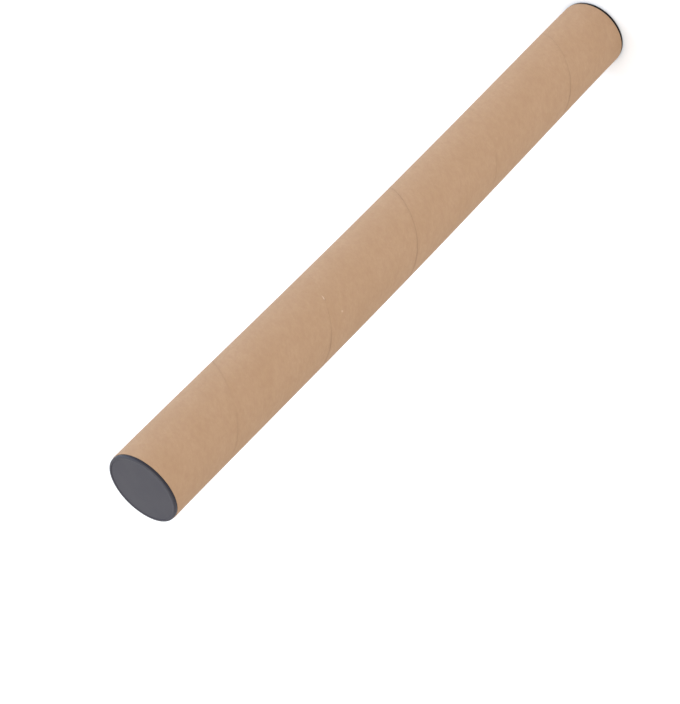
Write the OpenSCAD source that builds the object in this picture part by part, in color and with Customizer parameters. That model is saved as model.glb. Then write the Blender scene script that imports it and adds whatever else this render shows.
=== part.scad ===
// Cardboard mailing tube, spirally wound from kraft paper, with a plastic cap plugged into each end.
// It stands on its lower cap: +Z runs along the tube and the origin is the centre of the base.

/* [Tube] */
// Outside diameter of the tube
tube_od = 50; // [40:1:160]
// Thickness of the wound board
tube_wall = 2; // [1.2:0.1:4]
// Length of the tube without its caps
tube_length = 500; // [200:5:1200]

/* [Winding] */
// Width of the outer strip of paper, which sets how steeply its seam climbs
strip_width = 80; // [40:1:110]
// Thickness of the outer strip, which is the depth of its seam
strip_thickness = 0.3; // [0.15:0.05:0.6]
// Gap between the edges of neighbouring turns of the outer strip
seam_gap = 0.3; // [0.2:0.1:1.5]
// Height above the tube's lower end at which the seam first crosses the front
seam_start = 56; // [0:1:100]

/* [Cap disc] */
// Thickness of the disc at its rim
disc_thickness = 2.4; // [1.4:0.1:4]
// Distance from the tube's outside in to the disc's edge
disc_inset = 0.3; // [0.1:0.1:1]
// Radius of the edge round the cap's face
face_edge_radius = 0.9; // [0.3:0.1:0.9]
// Radius of the edge that meets the tube
seat_edge_radius = 0.3; // [0.1:0.1:0.4]
// Width of the raised rim round the cap's face
rim_width = 2; // [1.4:0.1:4]
// Depth of the cap's face below its rim
face_recess = 0.3; // [0.1:0.05:0.4]

/* [Cap plug] */
// Length of the plug that goes into the tube
plug_depth = 14; // [8:1:30]
// Thickness of the plug's wall
plug_wall = 1.3; // [1:0.1:2.5]
// Gap between the plug's wall and the bore, beside the disc
plug_gap = 0.6; // [0.3:0.1:1.2]
// How much the plug's radius narrows on the way to its tip
plug_taper = 0.3; // [0:0.1:0.6]
// Height and depth of the bevel that leads the plug into the bore
lead_in = 0.5; // [0.2:0.1:0.7]
// Radius of the fillet between the plug's inside and the disc
root_fillet = 0.8; // [0.3:0.1:2]
// Number of grip ribs round the plug
rib_count = 12; // [6:1:24]
// Width of a grip rib
rib_width = 1.6; // [1.2:0.1:3]
// Distance from the plug's tip to the point where its ribs begin
rib_setback = 1.2; // [0.8:0.1:3]
// Gap between a rib's crest and the bore
rib_clearance = 0.08; // [0.03:0.01:0.1]

/* [Hidden] */

$fn = 96;
kraft = "#C19E7F";
cap_grey = "#626167";

// How far a cut runs past the face that it opens
run_out = 1;
// Flats in one turn of the seam
seam_flats = 60;

tube_r = tube_od / 2;
bore_r = tube_r - tube_wall;
tube_bottom = disc_thickness;
tube_top = tube_bottom + tube_length;

// One turn of the outer strip climbs as far as its width spans along the tube
winding_angle = asin(strip_width / (PI * tube_od));
seam_pitch = strip_width / cos(winding_angle);
// Width of the seam measured round the tube
seam_arc = seam_gap / sin(winding_angle);

disc_r = tube_r - disc_inset;
face_r = disc_r - rim_width;
plug_r = bore_r - plug_gap;
plug_tip_r = plug_r - plug_taper;
hollow_r = plug_r - plug_wall;
rib_r = rib_width / 2;
rib_centre = bore_r - rib_clearance - rib_r;

// Section of the groove that the strip's edges leave, on the +X side of the tube
module seam_section() {
  translate([tube_r - strip_thickness, -seam_arc / 2])
    square([strip_thickness + run_out, seam_arc]);
}

// Left-handed helix from below the tube to above it, timed to cross the front at seam_start
module seam_groove() {
  height = tube_length + 2 * run_out;
  turns = height / seam_pitch;
  front = -90;
  translate([0, 0, tube_bottom - run_out])
    rotate([0, 0, front + 360 * (run_out + seam_start) / seam_pitch])
      linear_extrude(height = height, twist = 360 * turns, slices = ceil(turns * seam_flats), segments = 4)
        seam_section();
}

module tube() {
  color(kraft)
    difference() {
      translate([0, 0, tube_bottom])
        cylinder(h = tube_length, r = tube_r);
      translate([0, 0, tube_bottom - run_out])
        cylinder(h = tube_length + 2 * run_out, r = bore_r);
      seam_groove();
    }
}

// Half section of the disc, with its face up and its seat on z = 0
module disc_section() {
  difference() {
    union() {
      translate([0, seat_edge_radius])
        square([disc_r, disc_thickness - face_edge_radius - seat_edge_radius]);
      square([disc_r - seat_edge_radius, disc_thickness / 2]);
      translate([disc_r - seat_edge_radius, seat_edge_radius])
        circle(r = seat_edge_radius);
      translate([0, disc_thickness / 2])
        square([disc_r - face_edge_radius, disc_thickness / 2]);
      translate([disc_r - face_edge_radius, disc_thickness - face_edge_radius])
        circle(r = face_edge_radius);
    }
    face_cut_section();
  }
}

// What is taken off above the face, with a bevel up to the rim
module face_cut_section() {
  polygon([
    [-run_out, disc_thickness - face_recess],
    [face_r, disc_thickness - face_recess],
    [face_r + face_recess, disc_thickness],
    [face_r + face_recess, disc_thickness + run_out],
    [-run_out, disc_thickness + run_out]
  ]);
}

// Half section of the plug as a full tapered block, from the disc's seat down to its tip
module plug_section() {
  polygon([
    [0, disc_thickness / 2],
    [plug_r, disc_thickness / 2],
    [plug_r, 0],
    [plug_tip_r, lead_in - plug_depth],
    [plug_tip_r - lead_in, -plug_depth],
    [0, -plug_depth]
  ]);
}

// Half section of the plug's inside, open at the tip and filleted where it meets the disc
module hollow_section() {
  translate([0, -plug_depth - run_out])
    square([hollow_r, plug_depth + run_out - root_fillet]);
  translate([0, -2 * root_fillet])
    square([hollow_r - root_fillet, 2 * root_fillet]);
  translate([hollow_r - root_fillet, -root_fillet])
    circle(r = root_fillet);
}

// Rounded rib with a tapered nose, rooted in the disc
module grip_rib() {
  nose = rib_setback - plug_depth;
  translate([rib_centre, 0, nose + rib_r])
    cylinder(h = disc_thickness / 2 - nose - rib_r, r = rib_r);
  translate([rib_centre, 0, nose])
    cylinder(h = rib_r, r1 = rib_r / 2, r2 = rib_r);
}

// One moulding, with its face up and its plug hanging below z = 0
module end_cap() {
  difference() {
    union() {
      rotate_extrude()
        disc_section();
      rotate_extrude()
        plug_section();
      for (i = [0 : rib_count - 1])
        rotate([0, 0, 360 * i / rib_count])
          grip_rib();
    }
    rotate_extrude()
      hollow_section();
  }
}

module top_cap() {
  color(cap_grey)
    translate([0, 0, tube_top])
      end_cap();
}

module bottom_cap() {
  color(cap_grey)
    translate([0, 0, tube_bottom])
      rotate([180, 0, 0])
        end_cap();
}

tube();
top_cap();
bottom_cap();
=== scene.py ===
"""Spirally wound mailing tube that stands on its lower cap, dressed and lit for its picture."""

import math

import bpy
from mathutils import Matrix, Vector, noise


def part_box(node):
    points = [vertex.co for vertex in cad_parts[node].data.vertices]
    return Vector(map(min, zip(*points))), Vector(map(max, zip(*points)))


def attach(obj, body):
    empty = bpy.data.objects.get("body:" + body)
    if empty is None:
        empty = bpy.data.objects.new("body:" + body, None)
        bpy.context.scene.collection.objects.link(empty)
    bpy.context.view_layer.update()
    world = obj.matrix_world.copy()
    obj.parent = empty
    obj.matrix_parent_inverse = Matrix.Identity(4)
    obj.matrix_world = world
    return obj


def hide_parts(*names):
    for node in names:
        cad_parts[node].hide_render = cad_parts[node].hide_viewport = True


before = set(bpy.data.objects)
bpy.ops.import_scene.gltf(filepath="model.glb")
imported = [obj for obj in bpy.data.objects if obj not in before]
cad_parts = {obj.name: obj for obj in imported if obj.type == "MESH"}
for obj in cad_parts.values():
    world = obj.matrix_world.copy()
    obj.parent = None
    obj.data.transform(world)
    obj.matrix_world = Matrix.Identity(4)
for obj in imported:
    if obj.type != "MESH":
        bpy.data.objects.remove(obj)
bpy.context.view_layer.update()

MM = 0.001
TURN = 2 * math.pi

# Sizes taken from the solids
tube_low, tube_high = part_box("tube")
cap_low, cap_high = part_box("top_cap")
TUBE_R = tube_high[0]
TUBE_BOTTOM = tube_low[2]
TUBE_TOP = tube_high[2]
DISC_R = cap_high[0]
DISC_THICKNESS = cap_high[2] - TUBE_TOP
PLUG_DEPTH = TUBE_TOP - cap_low[2]

# Sizes of the winding, as in the solids
WALL = 2 * MM
BORE_R = TUBE_R - WALL
STRIP_WIDTH = 80 * MM
STRIP_THICKNESS = 0.3 * MM
SEAM_GAP = 0.3 * MM
SEAM_FRONT = TUBE_BOTTOM + 56 * MM
CLIMB = math.asin(STRIP_WIDTH / (TURN * TUBE_R))
PITCH = STRIP_WIDTH / math.cos(CLIMB)

# Sizes of a cap, as in the solids
FACE_EDGE_R = 0.9 * MM
SEAT_EDGE_R = 0.3 * MM
RIM_WIDTH = 2 * MM
FACE_RECESS = 0.3 * MM
PLUG_WALL = 1.3 * MM
PLUG_GAP = 0.6 * MM
PLUG_R = BORE_R - PLUG_GAP
PLUG_TAPER = 0.3 * MM
LEAD_IN = 0.5 * MM
ROOT_FILLET = 0.8 * MM
RIB_COUNT = 12
RIB_R = 0.8 * MM
RIB_SETBACK = 1.2 * MM
RIB_CLEARANCE = 0.08 * MM
RIB_CENTRE = BORE_R - RIB_CLEARANCE - RIB_R


# Mesh helpers

SHARP_ANGLE = math.radians(40)
# Lets the outer of two zipped rings close before the inner one
CLOSE_LATER = 1e-6


def make_piece(name, points, faces, materials, face_materials, floats=(), vectors=()):
    """A mesh object from points and faces, with named values on its points for the materials to read."""
    mesh = bpy.data.meshes.new(name)
    mesh.from_pydata(points, [], faces)
    for material in materials:
        mesh.materials.append(material)
    mesh.polygons.foreach_set("material_index", face_materials)
    for key, values in floats:
        layer = mesh.attributes.new(key, "FLOAT", "POINT")
        layer.data.foreach_set("value", values)
    for key, values in vectors:
        layer = mesh.attributes.new(key, "FLOAT_VECTOR", "POINT")
        layer.data.foreach_set("vector", [c for v in values for c in v])
    mesh.shade_smooth()
    mesh.set_sharp_from_angle(angle=SHARP_ANGLE)
    mesh.validate()
    piece = bpy.data.objects.new(name, mesh)
    bpy.context.scene.collection.objects.link(piece)
    return piece


def on_tube(radius, angle, z):
    """A point at an angle that is counted from the front, counter-clockwise from above."""
    return (radius * math.sin(angle), -radius * math.cos(angle), z)


def join_rings(lower, upper):
    """Quads between two closed rings of as many points, facing outward if the rings run with the angle."""
    n = len(lower)
    return [(lower[i], lower[(i + 1) % n], upper[(i + 1) % n], upper[i]) for i in range(n)]


def zip_rings(outer, inner, angle_of):
    """Triangles between two closed rings of unlike counts, each running with the angle."""
    start = angle_of(outer[0])
    first = min(range(len(inner)), key=lambda i: (angle_of(inner[i]) - start) % TURN)
    inner = inner[first:] + inner[:first]
    faces = []
    i = 0
    j = 0
    while i < len(outer) or j < len(inner):
        a = outer[i % len(outer)]
        b = inner[j % len(inner)]
        next_a = outer[(i + 1) % len(outer)]
        next_b = inner[(j + 1) % len(inner)]
        turn_a = (angle_of(next_a) - start) % TURN if i + 1 < len(outer) else TURN
        turn_b = (angle_of(next_b) - start) % TURN if j + 1 < len(inner) else TURN + CLOSE_LATER
        if j >= len(inner) or (i < len(outer) and turn_a <= turn_b):
            faces.append((a, next_a, b))
            i += 1
        else:
            faces.append((a, next_b, b))
            j += 1
    return faces


# Material helpers

NOISE_ROUGHNESS = 0.55
# Sockets of a mix node that is set to colours
MIX_SHARE = 0
MIX_FIRST = 6
MIX_SECOND = 7
MIX_RESULT = 2


def add(tree, kind, inputs=None, **settings):
    """A node with its settings, and with its inputs set to values or linked to other nodes' outputs."""
    made = tree.nodes.new(kind)
    for key, value in settings.items():
        setattr(made, key, value)
    for key, value in (inputs or {}).items():
        socket = made.inputs[key]
        if isinstance(value, bpy.types.NodeSocket):
            tree.links.new(value, socket)
        else:
            socket.default_value = value
    return made


def math_node(tree, operation, a, b=0.0):
    return add(tree, "ShaderNodeMath", {0: a, 1: b}, operation=operation).outputs[0]


def mix_colour(tree, share, a, b):
    inputs = {MIX_SHARE: share, MIX_FIRST: a, MIX_SECOND: b}
    made = add(tree, "ShaderNodeMix", inputs, data_type="RGBA", blend_type="MIX")
    return made.outputs[MIX_RESULT]


def spread(tree, value, low, high, to_low=0.0, to_high=1.0):
    """value stretched so that low becomes to_low and high becomes to_high."""
    made = add(tree, "ShaderNodeMapRange", {0: value, 1: low, 2: high, 3: to_low, 4: to_high})
    return made.outputs[0]


def noise_over(tree, where, scale, detail, turn=0.0):
    """Noise with a scale for each axis, in features per unit of where."""
    placed = add(tree, "ShaderNodeMapping", {"Vector": where, "Rotation": (0, 0, turn), "Scale": scale})
    inputs = {"Vector": placed.outputs[0], "Scale": 1.0, "Detail": detail, "Roughness": NOISE_ROUGHNESS}
    return add(tree, "ShaderNodeTexNoise", inputs).outputs[0]


def new_material(name):
    """A material with nodes, its tree and its main shader."""
    material = bpy.data.materials.new(name)
    material.use_nodes = True
    shader = material.node_tree.nodes["Principled BSDF"]
    return material, material.node_tree, shader


def named_value(tree, key, vector=False):
    made = add(tree, "ShaderNodeAttribute", attribute_name=key)
    return made.outputs["Vector" if vector else "Fac"]


def set_bump(tree, shader, height, depth):
    bump = add(tree, "ShaderNodeBump", {"Height": height, "Distance": depth, "Strength": 1.0})
    tree.links.new(bump.outputs[0], shader.inputs["Normal"])


# The paper

KRAFT = (0.505, 0.316, 0.188, 1)
KRAFT_PALE = (0.545, 0.350, 0.217, 1)
KRAFT_DEEP = (0.445, 0.270, 0.154, 1)
KRAFT_ROSY = (0.455, 0.270, 0.165, 1)
FIBRE_DARK = (0.30, 0.17, 0.09, 1)
FIBRE_PALE = (0.62, 0.43, 0.29, 1)
# Colour of the painted shade, mixed with dust, in the seam's groove and along its lips
SEAM_PAINTED_SHADE = (0.17, 0.092, 0.052, 1)
# Pale fibre of the nick and the fleck, and the painted highlight along the seam's near lip
PALE_FIBRE_AND_HIGHLIGHT = (0.74, 0.55, 0.40, 1)

# Layers of noise: features per mm along and across the strip, detail, and turn on the strip
PATCHES = ((0.035, 0.05, 1), 3, 0.0)
MOTTLE = ((0.16, 0.26, 1), 2, 0.3)
CLOUD = ((0.4, 0.7, 1), 4, 0.0)
FIBRES = ((0.45, 5.5, 1), 2, 0.16)
CROSSING = ((0.6, 4.5, 1), 2, -0.35)
SPECKS = ((1.1, 2.2, 1), 1, 0.1)

# How much each layer shows: from one value of its noise to another, by this share to that
SHOW_PATCHES = (0.35, 0.65, 0, 0.55)
SHOW_MOTTLE = (0.38, 0.66, 0, 0.40)
SHOW_CLOUD = (0.35, 0.75, 0, 0.36)
SHOW_FIBRES = (0.58, 0.78, 0, 0.28)
SHOW_CROSSING = (0.60, 0.80, 0, 0.28)
SHOW_SPECKS = (0.74, 0.80, 0, 0.5)

PAPER_ROUGHNESS = (0.3, 0.7, 0.70, 0.82)
PAPER_GLOSS = 0.14
PAPER_GRAIN = 0.025 * MM
CLOUD_HEIGHT = 1.5

# A pale fleck of loose fibre: height and angle, size and core in mm, ragged outline and strength
FLECK_PLACE = (TUBE_BOTTOM + 330.2 * MM, math.radians(-22))
FLECK_SIZE = 0.9
FLECK_CORE = 0.18
FLECK_RAGGED = (0.3, 0.7, -0.25, 0.25)
FLECK_STRENGTH = 0.6

# The sawn ends: noise per metre, how it shows, the line between plies, roughness and grain
FUZZ = ((3500, 3500, 3500), 3)
SHOW_FUZZ = (0.3, 0.7)
PLY_LINE = (0.80, 1.0, 0, 0.55)
CUT_ROUGHNESS = (0.3, 0.7, 0.82, 0.95)
CUT_GRAIN = 0.06 * MM


def strip_place(z, angle):
    """Place on the outer strip, in mm along and across it, of a point on the wall."""
    across = TUBE_R * (angle - seam_angle(z)) * math.sin(CLIMB)
    turns = math.floor(across / STRIP_WIDTH)
    angle -= turns * TURN
    across -= turns * STRIP_WIDTH
    along = TUBE_R * angle * math.cos(CLIMB) - z * math.sin(CLIMB)
    return (along / MM, across / MM, 0.0)


def kraft_paper():
    """Calendered kraft: cloudy, with fibres that lie along the strip, a few bark specks, and dust and
    painted shade in and beside the seam.
    """
    material, tree, shader = new_material("kraft_paper")
    strip = named_value(tree, "strip_mm", vector=True)
    patches = noise_over(tree, strip, *PATCHES)
    mottle = noise_over(tree, strip, *MOTTLE)
    cloud = noise_over(tree, strip, *CLOUD)
    fibres = noise_over(tree, strip, *FIBRES)
    crossing = noise_over(tree, strip, *CROSSING)
    specks = noise_over(tree, strip, *SPECKS)

    colour = mix_colour(tree, spread(tree, patches, *SHOW_PATCHES), KRAFT, KRAFT_PALE)
    colour = mix_colour(tree, spread(tree, mottle, *SHOW_MOTTLE), colour, KRAFT_ROSY)
    colour = mix_colour(tree, spread(tree, cloud, *SHOW_CLOUD), colour, KRAFT_DEEP)
    colour = mix_colour(tree, spread(tree, fibres, *SHOW_FIBRES), colour, FIBRE_PALE)
    colour = mix_colour(tree, spread(tree, crossing, *SHOW_CROSSING), colour, FIBRE_DARK)
    colour = mix_colour(tree, spread(tree, specks, *SHOW_SPECKS), colour, FIBRE_DARK)
    # Painted shade and dust in the seam's groove and along its lips
    colour = mix_colour(tree, named_value(tree, "seam"), colour, SEAM_PAINTED_SHADE)
    # Pale torn paper at the nick, and pale fibre with a painted highlight along the near lip
    colour = mix_colour(tree, named_value(tree, "torn"), colour, PALE_FIBRE_AND_HIGHLIGHT)
    fleck_middle = strip_place(*FLECK_PLACE)
    fleck = add(tree, "ShaderNodeVectorMath", {0: strip, 1: fleck_middle}, operation="DISTANCE")
    ragged = spread(tree, crossing, *FLECK_RAGGED)
    fleck = math_node(tree, "ADD", fleck.outputs["Value"], ragged)
    fleck = spread(tree, fleck, FLECK_SIZE, FLECK_CORE, 0, FLECK_STRENGTH)
    colour = mix_colour(tree, fleck, colour, PALE_FIBRE_AND_HIGHLIGHT)
    tree.links.new(colour, shader.inputs["Base Color"])

    tree.links.new(spread(tree, cloud, *PAPER_ROUGHNESS), shader.inputs["Roughness"])
    shader.inputs["Specular IOR Level"].default_value = PAPER_GLOSS
    height = math_node(tree, "ADD", fibres, math_node(tree, "MULTIPLY", cloud, CLOUD_HEIGHT))
    set_bump(tree, shader, height, PAPER_GRAIN)
    return material


def cut_board():
    """The sawn ends of the wound board: paler and rougher, with a line between one ply and the next."""
    material, tree, shader = new_material("cut_board")
    place = add(tree, "ShaderNodeTexCoord").outputs["Object"]
    across = add(tree, "ShaderNodeSeparateXYZ", {0: place})
    reach = math_node(tree, "POWER", across.outputs[0], 2.0)
    reach = math_node(tree, "ADD", reach, math_node(tree, "POWER", across.outputs[1], 2.0))
    reach = math_node(tree, "SQRT", reach)
    plies = math_node(tree, "FRACT", math_node(tree, "DIVIDE", reach, STRIP_THICKNESS))
    fuzz = noise_over(tree, place, *FUZZ)
    line = spread(tree, plies, *PLY_LINE)
    colour = mix_colour(tree, spread(tree, fuzz, *SHOW_FUZZ), KRAFT_PALE, KRAFT)
    colour = mix_colour(tree, line, colour, FIBRE_DARK)
    tree.links.new(colour, shader.inputs["Base Color"])
    tree.links.new(spread(tree, fuzz, *CUT_ROUGHNESS), shader.inputs["Roughness"])
    set_bump(tree, shader, fuzz, CUT_GRAIN)
    return material


# The plastic of the caps

CAP_GREY = (0.0110, 0.0094, 0.0190, 1)
CAP_WORN = (0.0190, 0.0170, 0.0290, 1)
# Painted highlight on the round edge of the upper cap's face
CAP_PAINTED_HIGHLIGHT = (0.0420, 0.0400, 0.0480, 1)
# Painted shade: a darker, duller copy of the plastic for the lower cap's disc edge
CAP_PAINTED_SHADE = (0.0040, 0.0034, 0.0060, 1)
CAP_GLOSS = 0.405
PAINTED_SHADE_GLOSS = 0.10

# Layers of noise: features per metre, detail and turn
GRAIN = ((4200, 4200, 4200), 2)
BLOOM = ((70, 70, 70), 3)
RUBS = ((60, 1400, 60), 2, 0.7)

# How much each layer shows: from one value of its noise to another, by this share to that
SHOW_BLOOM = (0.3, 0.7, 0, 0.5)
SHOW_RUBS = (0.62, 0.75)
RUBS_WITHIN = (0.4, 0.7)
RUBS_PALE = 0.5

# Roughness from the bloom, what the grain adds to it and what a rub takes off
BLOOM_ROUGHNESS = (0.3, 0.7, 0.44, 0.50)
GRAIN_ROUGHNESS = (0.3, 0.7, -0.03, 0.03)
RUBS_POLISH = 0.06
GRAIN_DEPTH = 0.012 * MM


def cap_plastic(name, base, worn, gloss):
    """Dark moulded plastic with a fine spark-eroded grain and faint rubs, and a painted highlight on its
    face's round edge where the piece asks for one.
    """
    material, tree, shader = new_material(name)
    place = add(tree, "ShaderNodeTexCoord").outputs["Object"]
    grain = noise_over(tree, place, *GRAIN)
    bloom = noise_over(tree, place, *BLOOM)
    marks = noise_over(tree, place, *RUBS)
    wear = math_node(tree, "MULTIPLY", spread(tree, marks, *SHOW_RUBS), spread(tree, bloom, *RUBS_WITHIN))
    colour = mix_colour(tree, spread(tree, bloom, *SHOW_BLOOM), base, worn)
    colour = mix_colour(tree, math_node(tree, "MULTIPLY", wear, RUBS_PALE), colour, worn)
    # Painted highlight on the round edge of the face
    colour = mix_colour(tree, named_value(tree, "painted_highlight"), colour, CAP_PAINTED_HIGHLIGHT)
    tree.links.new(colour, shader.inputs["Base Color"])
    rough = spread(tree, bloom, *BLOOM_ROUGHNESS)
    rough = math_node(tree, "ADD", rough, spread(tree, grain, *GRAIN_ROUGHNESS))
    rough = math_node(tree, "SUBTRACT", rough, math_node(tree, "MULTIPLY", wear, RUBS_POLISH))
    tree.links.new(rough, shader.inputs["Roughness"])
    shader.inputs["Specular IOR Level"].default_value = gloss
    set_bump(tree, shader, grain, GRAIN_DEPTH)
    return material


# The wound tube

# Spacing of the rows and columns of points on the walls
ROW_STEP = 1.6 * MM
OUTER_SPACING = 0.56 * MM
INNER_SPACING = 0.95 * MM
# How far round the liner's seam is from the outer strip's
LINER_TURN = 2.1
# Height and depth of the bevel on the sawn ends, and how far a ply's edge sinks and spreads beside the next
CUT_EDGE_HEIGHT = 0.24 * MM
CUT_EDGE_DEPTH = 0.04 * MM
PLY_STEP = 0.05 * MM

# How far above a true helix the seam runs as it crosses the front, turn by turn
SEAM_STRAY = [0.6 * MM, 1.45 * MM, 1.6 * MM, 1.85 * MM, 2.45 * MM]
# How open the seam shows on each turn, at these parts of a turn from the front; the large values at +1/6 of
# a turn, on the side away from the key light, partly stand for painted shade that the seam's step would cast
# there
OPENNESS_PLACES = (-1 / 6, -1 / 12, 0, 1 / 12, 1 / 6)
SEAM_OPENNESS = [
    (0.42, 0.30, 0.33, 0.50, 1.20),
    (0.36, 0.10, 0.00, 0.17, 0.44),
    (0.49, 0.50, 0.44, 0.64, 1.12),
    (0.10, 0.06, 0.10, 0.31, 1.10),
    (0.76, 0.44, 0.08, 0.23, 0.60),
]
# Least share of that openness that chance leaves
OPENNESS_KEPT = 0.5
# Width, depth and painted shade of the seam: when it is shut, and what openness adds
GAP_SHARE = (0.06, 0.44)
DEPTH_SHARE = (0.15, 0.5)
FLOOR_SHADE = (0.10, 0.60)
# How far the foot of a strip's edge stands off it, and the largest share of the gap that this takes
FOOT = 0.02 * MM
FOOT_SHARE = 0.25

# Places beside a strip's edge at which the wall has points, how much painted shade it has there, and how
# much pale fibre with a painted highlight
LIP_STEPS = [0.0, 0.06 * MM, 0.25 * MM, 0.6 * MM, 1.2 * MM, 2.2 * MM]
LIP_SHADE = [0.23, 0.20, 0.15, 0.095, 0.04, 0.0]
LIP_FRAY_AND_HIGHLIGHT = [0.16, 0.12, 0.05, 0.0, 0.0, 0.0]
EDGE_DROP = 0.04 * MM
LIP_LIFT = 0.05 * MM
LIP_REACH = 0.9 * MM
# Share of the near lip's lift that the far lip has
FAR_LIFT = 0.4
# Height of the paper's cockle, and its length along and across the strip
COCKLE = 0.03 * MM
COCKLE_ALONG = 50 * MM
COCKLE_ACROSS = 13 * MM

# Seed and length of each kind of chance along the tube
OPEN_CHANCE = (1.3, 8 * MM)
FRAY_AND_HIGHLIGHT_CHANCE = (6.4, 6 * MM)
NEAR_CHANCE = (9.1, 20 * MM)
FAR_CHANCE = (4.2, 20 * MM)
CHANCE_SLICE = 0.5

# How far the middle of the tube strays to one side, and how late the bow sets in beyond the plugs
BOW = 1.6 * MM
BOW_POWER = 1.3

# A small tear in the strip's edge: its middle, half its height, its bite, and the rows from middle to end
NICK_Z = TUBE_BOTTOM + 333.8 * MM
NICK_HALF = 0.7 * MM
NICK_BITE = 1.0 * MM
NICK_ROWS = 4
# How soon the tear is fully pale, how much it fills the seam, the painted shade at its foot and how far it
# pales the lip
NICK_SOON = 3
NICK_FILL = 0.6
NICK_SHADE = 0.25
NICK_REACH = 0.2 * MM


def along_turns(z, knots):
    """Value at height z, eased between knots of (turns above the seam's first front crossing, value)."""
    turn = (z - SEAM_FRONT) / PITCH
    if turn <= knots[0][0]:
        return knots[0][1]
    for (a, low), (b, high) in zip(knots, knots[1:]):
        if turn <= b:
            share = (turn - a) / (b - a)
            share = share * share * (3 - 2 * share)
            return low + (high - low) * share
    return knots[-1][1]


STRAY_KNOTS = list(enumerate(SEAM_STRAY))
OPENNESS_KNOTS = [
    (turn + part, value)
    for turn, values in enumerate(SEAM_OPENNESS)
    for part, value in zip(OPENNESS_PLACES, values)
]


def seam_angle(z):
    """Angle at which the outer seam passes height z."""
    helix = (SEAM_FRONT - z) * TURN / PITCH
    return helix + along_turns(z, STRAY_KNOTS) * TURN / PITCH


def bow(z):
    """How far the tube strays towards -X at height z: not at all beside the plugs, which sit square."""
    share = (z - TUBE_BOTTOM - PLUG_DEPTH) / (TUBE_TOP - TUBE_BOTTOM - 2 * PLUG_DEPTH)
    if not 0 < share < 1:
        return 0.0
    return BOW * math.sin(math.pi * share) ** BOW_POWER


def wander(z, chance, turned):
    """Smooth chance from 0 to 1 along the tube."""
    seed, length = chance
    return (1 + noise.noise(Vector((z / length, seed + turned, CHANCE_SLICE)))) / 2


def wall_rows(extra=()):
    """Heights of the rows of a wall, with extra ones where detail needs them."""
    count = round((TUBE_TOP - TUBE_BOTTOM) / ROW_STEP)
    rows = [TUBE_BOTTOM + (TUBE_TOP - TUBE_BOTTOM) * i / count for i in range(count + 1)]
    return sorted(set(rows) | set(extra))


def wound_ring(z, radius, outward, spacing, turned, bite):
    """One ring of a wall whose columns follow its strip, so that the seam between turns is a true step.

    The ring is a list of (radius, angle, place on the strip in mm, painted seam shade, share of pale torn
    paper and painted highlight).
    """
    openness = along_turns(z, OPENNESS_KNOTS) * (OPENNESS_KEPT + wander(z, OPEN_CHANCE, turned))
    gap = SEAM_GAP * (GAP_SHARE[0] + GAP_SHARE[1] * openness)
    depth = STRIP_THICKNESS * (DEPTH_SHARE[0] + DEPTH_SHARE[1] * openness)
    floor_shade = FLOOR_SHADE[0] + FLOOR_SHADE[1] * openness
    foot = min(FOOT, gap * FOOT_SHARE)
    fray_and_highlight = openness * wander(z, FRAY_AND_HIGHLIGHT_CHANCE, turned)
    torn = min(1.0, NICK_SOON * bite / NICK_BITE)
    base = seam_angle(z) + turned
    near_edge = gap / 2
    far_edge = STRIP_WIDTH - gap / 2 - bite
    along_base = TUBE_R * base * math.cos(CLIMB) - z * math.sin(CLIMB)

    def column(across, height, shade, paleness):
        along = along_base + across / math.tan(CLIMB)
        place = (along / MM, across / MM, 0.0)
        angle = base + across / (TUBE_R * math.sin(CLIMB))
        return (radius + outward * height, angle, place, shade, paleness)

    def surface(across):
        """Height of the paper: its lifted lips and its cockle, which fades out towards its edges."""
        from_near = across - near_edge
        from_far = far_edge - across
        lift = LIP_LIFT * wander(z, NEAR_CHANCE, turned) * math.exp(-from_near / LIP_REACH)
        lift += FAR_LIFT * LIP_LIFT * wander(z, FAR_CHANCE, turned) * math.exp(-from_far / LIP_REACH)
        along = along_base + across / math.tan(CLIMB)
        cockle = COCKLE * noise.noise(Vector((along / COCKLE_ALONG, across / COCKLE_ACROSS, turned)))
        return lift + cockle * min(1.0, from_near / LIP_STEPS[-1], from_far / LIP_STEPS[-1])

    # The seam's floor up to the near lip, with painted shade, pale where it is torn
    floor = (-depth * (1 - NICK_FILL * torn), floor_shade * (1 - torn), torn)
    ring = [column(0.0, *floor), column(near_edge - foot, *floor)]
    for step, shade, pale in zip(LIP_STEPS, LIP_SHADE, LIP_FRAY_AND_HIGHLIGHT):
        across = near_edge + step
        drop = EDGE_DROP if step == 0 else 0.0
        # Pale fibre along the near lip, partly a painted highlight where the lifted edge would catch light,
        # and the tear's pale
        paleness = max(pale * fray_and_highlight, torn * math.exp(-step / NICK_REACH))
        ring.append(column(across, surface(across) - drop, shade * openness * (1 - torn), paleness))

    # The plain paper between the lips
    first = near_edge + LIP_STEPS[-1]
    last = far_edge - LIP_STEPS[-1]
    count = round((STRIP_WIDTH - 2 * LIP_STEPS[-1]) / spacing)
    for i in range(1, count):
        across = first + (last - first) * i / count
        ring.append(column(across, surface(across), 0.0, 0.0))

    # The far lip and the foot of the tear, with painted shade
    for step, shade in reversed(list(zip(LIP_STEPS, LIP_SHADE))):
        across = far_edge - step
        drop = EDGE_DROP if step == 0 else 0.0
        ring.append(column(across, surface(across) - drop, shade * openness, 0.0))
    ring.append(column(far_edge + foot, -depth, floor_shade + NICK_SHADE * torn, 0.0))
    return ring


def nick_bite(z):
    """How far the tear eats into the strip's edge at height z."""
    return NICK_BITE * max(0.0, 1 - ((z - NICK_Z) / NICK_HALF) ** 2)


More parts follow.
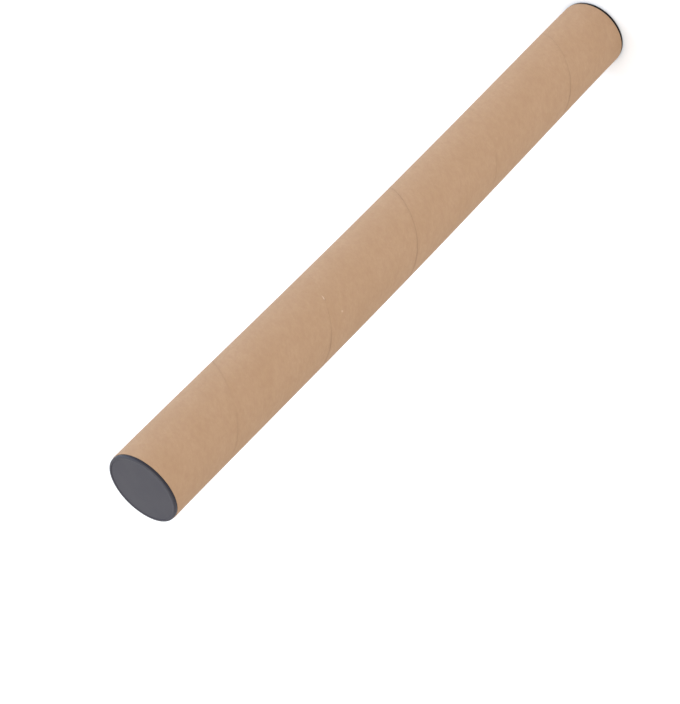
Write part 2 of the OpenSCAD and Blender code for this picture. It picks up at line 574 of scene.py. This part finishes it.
def tube_piece():
    """Outer wall, bore and sawn ends, as one closed mesh."""
    nick_rows = [NICK_Z + NICK_HALF * k / NICK_ROWS for k in range(-NICK_ROWS - 1, NICK_ROWS + 2)]
    end_rows = [TUBE_BOTTOM + CUT_EDGE_HEIGHT, TUBE_TOP - CUT_EDGE_HEIGHT]
    outer_rows = wall_rows(nick_rows + end_rows)
    inner_rows = wall_rows()
    points = []
    places = []
    seams = []
    pale_shares = []
    faces = []
    kinds = []

    def add_ring(ring, z, radius_shift=0.0):
        first = len(points)
        for radius, angle, place, seam, paleness in ring:
            x, y, height = on_tube(radius + radius_shift, angle, z)
            points.append((x - bow(z), y, height))
            places.append(place)
            seams.append(seam)
            pale_shares.append(paleness)
        return list(range(first, len(points)))

    def add_faces(new, kind):
        faces.extend(new)
        kinds.extend([kind] * len(new))

    def angle_of(index):
        x, y, _ = points[index]
        return math.atan2(x, -y) % TURN

    walls = 0
    ends = 1
    outer = [wound_ring(z, TUBE_R, 1, OUTER_SPACING, 0.0, nick_bite(z)) for z in outer_rows]
    outer_ids = []
    for z, ring in zip(outer_rows, outer):
        shift = -CUT_EDGE_DEPTH if z in (TUBE_BOTTOM, TUBE_TOP) else 0.0
        outer_ids.append(add_ring(ring, z, shift))
    for low, high in zip(outer_ids, outer_ids[1:]):
        add_faces(join_rings(low, high), walls)

    inner = [wound_ring(z, BORE_R, -1, INNER_SPACING, LINER_TURN, 0.0) for z in inner_rows]
    inner_ids = [add_ring(ring, z) for z, ring in zip(inner_rows, inner)]
    for low, high in zip(inner_ids, inner_ids[1:]):
        add_faces([tuple(reversed(f)) for f in join_rings(low, high)], walls)

    # The sawn ends step in ply by ply, each ply's edge standing a hair higher than the line beside it
    ply_count = round(WALL / STRIP_THICKNESS)
    for end, z, up in ((-1, TUBE_TOP, 1), (0, TUBE_BOTTOM, -1)):
        last = outer_ids[end]
        flat = [(TUBE_R, a, p, 0.0, 0.0) for _, a, p, _, _ in outer[end]]
        for k in range(1, ply_count):
            reach = -WALL * k / ply_count
            for shift, sink in ((PLY_STEP, 0.0), (0.0, PLY_STEP), (-PLY_STEP, 0.0)):
                new = add_ring(flat, z - up * sink, reach + shift)
                add_faces(join_rings(last, new) if up > 0 else join_rings(new, last), ends)
                last = new
        ring = zip_rings(last, inner_ids[end], angle_of)
        add_faces(ring if up > 0 else [tuple(reversed(f)) for f in ring], ends)

    piece = make_piece(
        "wound_tube",
        points,
        faces,
        [kraft_paper(), cut_board()],
        kinds,
        # seam values are painted shade; torn values are torn paper and the painted highlight along the near
        # lip
        floats=[("seam", seams), ("torn", pale_shares)],
        vectors=[("strip_mm", places)],
    )
    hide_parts("tube")
    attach(piece, "tube")


# The caps

ARC_STEPS = 8
FACE_STEPS = 8
HOLLOW_STEPS = 4
# Angles from the middle of a rib at which the cap has points
RIB_COLUMNS_DEG = [0, 0.5, 1.0, 1.4, 1.7, 2.0, 2.3, 4.0, 6.5, 9.0, 12.0]
# Points that soften the bevel up to the rim: out and up from the bevel's foot, and from its head
BEVEL_FOOT = [(-0.25 * MM, 0.0), (-0.05 * MM, 0.0), (0.03 * MM, 0.02 * MM)]
BEVEL_HEAD = [(-0.05 * MM, -0.03 * MM), (0.06 * MM, 0.0), (0.20 * MM, 0.0)]
# Where the rim's flat ends, before its round edge
RIM_END = 0.10 * MM
# Heights of the rows down the plug, rows on a rib's nose, and the drop from the nose to the plain plug
PLUG_ROWS = [0.0, -2 * MM, -5 * MM, -8 * MM, -11 * MM]
NOSE_ROWS = 4
NOSE_DROP = 0.01 * MM
# Share of a rib's radius with which its nose begins
NOSE_SHARE = 0.5


def arc(centre_r, centre_z, radius, from_deg, to_deg):
    """Points of a round edge in the cap's section."""
    out = []
    for i in range(ARC_STEPS + 1):
        a = math.radians(from_deg + (to_deg - from_deg) * i / ARC_STEPS)
        out.append((centre_r + radius * math.cos(a), centre_z + radius * math.sin(a)))
    return out


def cap_section():
    """Two stretches of the cap's section, from the middle of its face round to the middle of its hollow.

    The stretch between them is the plug's outside, where the ribs stand.
    """
    face_z = DISC_THICKNESS - FACE_RECESS
    face_r = DISC_R - RIM_WIDTH
    rim_r = face_r + FACE_RECESS
    face = [(face_r * i / FACE_STEPS, face_z) for i in range(1, FACE_STEPS)]
    face += [(face_r + out, face_z + up) for out, up in BEVEL_FOOT]
    face += [(rim_r + out, DISC_THICKNESS + up) for out, up in BEVEL_HEAD]
    face += [(DISC_R - FACE_EDGE_R - RIM_END, DISC_THICKNESS)]
    face += arc(DISC_R - FACE_EDGE_R, DISC_THICKNESS - FACE_EDGE_R, FACE_EDGE_R, 90, 0)
    face += arc(DISC_R - SEAT_EDGE_R, SEAT_EDGE_R, SEAT_EDGE_R, 0, -90)
    hollow_r = PLUG_R - PLUG_WALL
    root_r = hollow_r - ROOT_FILLET
    tip = -PLUG_DEPTH
    hollow = [(PLUG_R - PLUG_TAPER - LEAD_IN, tip), (hollow_r, tip)]
    for i in range(1, HOLLOW_STEPS):
        hollow.append((hollow_r, tip + (PLUG_DEPTH - ROOT_FILLET) * i / HOLLOW_STEPS))
    hollow += arc(root_r, -ROOT_FILLET, ROOT_FILLET, 0, 90)
    hollow += [(root_r * i / HOLLOW_STEPS, 0.0) for i in range(HOLLOW_STEPS - 1, 0, -1)]
    return face, hollow


def plug_outside():
    """(radius, height) down the plug's outside, with close rows at the ribs' noses."""
    low = LEAD_IN - PLUG_DEPTH
    nose = RIB_SETBACK - PLUG_DEPTH
    heights = list(PLUG_ROWS)
    heights += [nose + RIB_R * k / NOSE_ROWS for k in range(NOSE_ROWS, -1, -1)]
    heights += [nose - NOSE_DROP, low]
    return [(PLUG_R - PLUG_TAPER * z / low, z) for z in heights]


def rib_reach(angle, z):
    """How far a rib reaches from the axis at an angle from its middle, or 0 where there is none."""
    nose = RIB_SETBACK - PLUG_DEPTH
    if z < nose:
        return 0.0
    half = RIB_R * min(1.0, NOSE_SHARE + (1 - NOSE_SHARE) * (z - nose) / RIB_R)
    aside = RIB_CENTRE * math.sin(angle)
    if abs(aside) >= half:
        return 0.0
    return RIB_CENTRE * math.cos(angle) + math.sqrt(half * half - aside * aside)


def edge_highlight(radius, z):
    """How much painted highlight the cap has at a place in its section: only on the round edge of its face.
    """
    rise = (z - DISC_THICKNESS) / FACE_EDGE_R + 1
    if radius < DISC_R - FACE_EDGE_R or not 0 < rise < 1:
        return 0.0
    return math.sqrt(math.sin(math.pi * rise))


def cap_piece(name, node, seat_z, up, plastic, edge_plastic, painted_highlight):
    """One moulding, with its seat on the tube's end and its face up or down."""
    sector = TURN / RIB_COUNT
    one_side = [math.radians(a) for a in RIB_COLUMNS_DEG]
    offsets = sorted({-a for a in one_side} | set(one_side) | {sector / 2})
    columns = [(k * sector + a, a) for k in range(RIB_COUNT) for a in offsets]
    points = []
    # Share of painted highlight at each point
    marks = []

    def add_point(radius, angle, z, highlight):
        points.append(on_tube(radius, up * angle, seat_z + up * z))
        marks.append(highlight)
        return len(points) - 1

    def add_ring(radius, z, ribbed=False):
        ids = []
        highlight = edge_highlight(radius, z) if painted_highlight else 0.0
        for angle, aside in columns:
            reach = max(radius, rib_reach(aside, z)) if ribbed else radius
            ids.append(add_point(reach, angle, z, highlight))
        return ids

    face, hollow = cap_section()
    face_middle = add_point(0.0, 0.0, face[0][1], 0.0)
    rings = [add_ring(r, z) for r, z in face]
    rings += [add_ring(r, z, ribbed=True) for r, z in plug_outside()]
    rings += [add_ring(r, z) for r, z in hollow]
    hollow_middle = add_point(0.0, 0.0, 0.0, 0.0)

    count = len(columns)
    plain = 0
    edge = 1
    faces = []
    for i in range(count):
        j = (i + 1) % count
        faces.append((face_middle, rings[0][i], rings[0][j]))
        faces.append((hollow_middle, rings[-1][j], rings[-1][i]))
    kinds = [plain] * len(faces)
    # The disc's edge is the two arcs that end the section's first stretch
    edge_last = len(face) - 1
    edge_first = len(face) - 2 * (ARC_STEPS + 1)
    for k, (above, below) in enumerate(zip(rings, rings[1:])):
        faces += join_rings(below, above)
        kinds += [edge if edge_first <= k < edge_last else plain] * count
    piece = make_piece(name, points, faces, [plastic, edge_plastic], kinds, floats=[("painted_highlight", marks)])
    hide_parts(node)
    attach(piece, node)


# Floor, light and camera

FLOOR_SIZE = 14.0
FLOOR_DULL = (0.90, 0.90, 0.90, 1)
FLOOR_BRIGHT = (0.92, 0.92, 0.92, 1)
FLOOR_CLOUD = ((3, 3, 3), 2)
FLOOR_ROUGHNESS = 0.9
FLOOR_GLOSS = 0.1

WHITE = (1, 1, 1)
WORLD_STRENGTH = 0.47
LIGHT_AIM = (0, 0, 0.3)
# Name, place, width and height, power in watts and colour of each softbox
SOFTBOXES = [
    ("overhead", (0.0, -0.6, 3.2), (4.0, 4.0), 122, WHITE),
    ("key", (2.9, 0.6, 1.4), (2.0, 2.0), 32, (0.66, 0.95, 1.40)),
    ("back", (0.4, 3.4, 2.4), (4.0, 2.4), 40, WHITE),
]

CAMERA_PLACE = (0.0, -1.1745, 1.1031)
CAMERA_PAN = math.radians(1.347)
CAMERA_DOWN = math.radians(33.005)
CAMERA_ROLL = math.radians(-136.118)
CAMERA_LENS = 119.15
SENSOR_WIDTH = 36.0


def pale_floor():
    material, tree, shader = new_material("pale_floor")
    place = add(tree, "ShaderNodeTexCoord").outputs["Object"]
    cloud = noise_over(tree, place, *FLOOR_CLOUD)
    colour = mix_colour(tree, cloud, FLOOR_DULL, FLOOR_BRIGHT)
    tree.links.new(colour, shader.inputs["Base Color"])
    shader.inputs["Roughness"].default_value = FLOOR_ROUGHNESS
    shader.inputs["Specular IOR Level"].default_value = FLOOR_GLOSS
    return material


def lay_floor():
    half = FLOOR_SIZE / 2
    corners = [(-half, -half, 0), (half, -half, 0), (half, half, 0), (-half, half, 0)]
    mesh = bpy.data.meshes.new("floor")
    mesh.from_pydata(corners, [], [(0, 1, 2, 3)])
    mesh.materials.append(pale_floor())
    floor = bpy.data.objects.new("floor", mesh)
    bpy.context.scene.collection.objects.link(floor)


def softbox(name, place, size, power, colour):
    lamp = bpy.data.lights.new(name, "AREA")
    lamp.shape = "RECTANGLE"
    lamp.size = size[0]
    lamp.size_y = size[1]
    lamp.energy = power
    lamp.color = colour
    holder = bpy.data.objects.new(name, lamp)
    holder.location = place
    holder.rotation_euler = (Vector(LIGHT_AIM) - Vector(place)).to_track_quat("-Z", "Y").to_euler()
    bpy.context.scene.collection.objects.link(holder)


def light_studio():
    world = bpy.data.worlds.new("studio")
    world.use_nodes = True
    background = world.node_tree.nodes["Background"]
    background.inputs["Color"].default_value = (*WHITE, 1)
    background.inputs["Strength"].default_value = WORLD_STRENGTH
    bpy.context.scene.world = world
    for box in SOFTBOXES:
        softbox(*box)


def place_camera():
    camera = bpy.data.cameras.new("camera")
    camera.sensor_fit = "HORIZONTAL"
    camera.sensor_width = SENSOR_WIDTH
    camera.lens = CAMERA_LENS
    holder = bpy.data.objects.new("camera", camera)
    turn = Matrix.Rotation(CAMERA_PAN, 4, "Z")
    turn = turn @ Matrix.Rotation(math.pi / 2 - CAMERA_DOWN, 4, "X")
    turn = turn @ Matrix.Rotation(CAMERA_ROLL, 4, "Z")
    holder.matrix_world = Matrix.Translation(CAMERA_PLACE) @ turn
    bpy.context.scene.collection.objects.link(holder)
    bpy.context.scene.camera = holder


place_camera()
lay_floor()
light_studio()
clean_plastic = cap_plastic("cap_plastic", CAP_GREY, CAP_WORN, CAP_GLOSS)
# A darker, duller copy of the plastic that paints shade on the lower cap's disc edge
painted_shade_plastic = cap_plastic("painted_shade_plastic", CAP_PAINTED_SHADE, CAP_GREY, PAINTED_SHADE_GLOSS)
tube_piece()
# The upper cap has a painted highlight on its face's round edge
cap_piece("top_end_cap", "top_cap", TUBE_TOP, 1, clean_plastic, clean_plastic, painted_highlight=True)
# The lower cap's disc edge is in the painted-shade plastic
cap_piece("bottom_end_cap", "bottom_cap", TUBE_BOTTOM, -1, clean_plastic, painted_shade_plastic, painted_highlight=False)
bpy.context.scene.view_settings.view_transform = "Standard"
